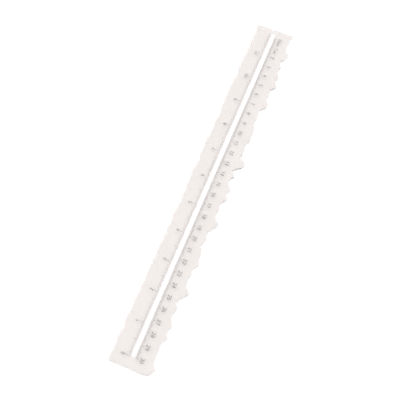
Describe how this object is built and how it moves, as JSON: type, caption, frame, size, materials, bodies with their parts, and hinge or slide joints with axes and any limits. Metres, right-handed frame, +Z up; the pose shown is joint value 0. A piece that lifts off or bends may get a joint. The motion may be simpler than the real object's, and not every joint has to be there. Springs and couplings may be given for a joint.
{
  "type": "deckle edge ruler",
  "caption": "Clear acrylic ruler with a coarse and a fine torn-paper edge, a long centre slot, and printed inch and centimetre scales that read from opposite ends.",
  "frame": {"origin": "middle of the plate's box, on the underside that lies on the paper", "axes": "+X along the ruler from the inch zero end to the centimetre zero end, +Y to the inch side (fine torn edge), +Z up out of the printed face"},
  "size_m": [0.317, 0.0376, 0.0033],
  "materials": {
    "clear_acrylic": "gloss",
    "printed_ink": "matte"
  },
  "bodies": {
    "root": {"ruler_plate": "clear_acrylic", "whole_inch_marks": "printed_ink", "half_inch_marks": "printed_ink", "quarter_inch_marks": "printed_ink", "eighth_inch_marks": "printed_ink", "sixteenth_inch_marks": "printed_ink", "inch_numerals": "printed_ink", "whole_centimetre_marks": "printed_ink", "half_centimetre_marks": "printed_ink", "millimetre_marks": "printed_ink", "centimetre_numerals": "printed_ink", "millimetre_unit_label": "printed_ink", "centimetre_unit_label": "printed_ink"}
  },
  "joints": []
}
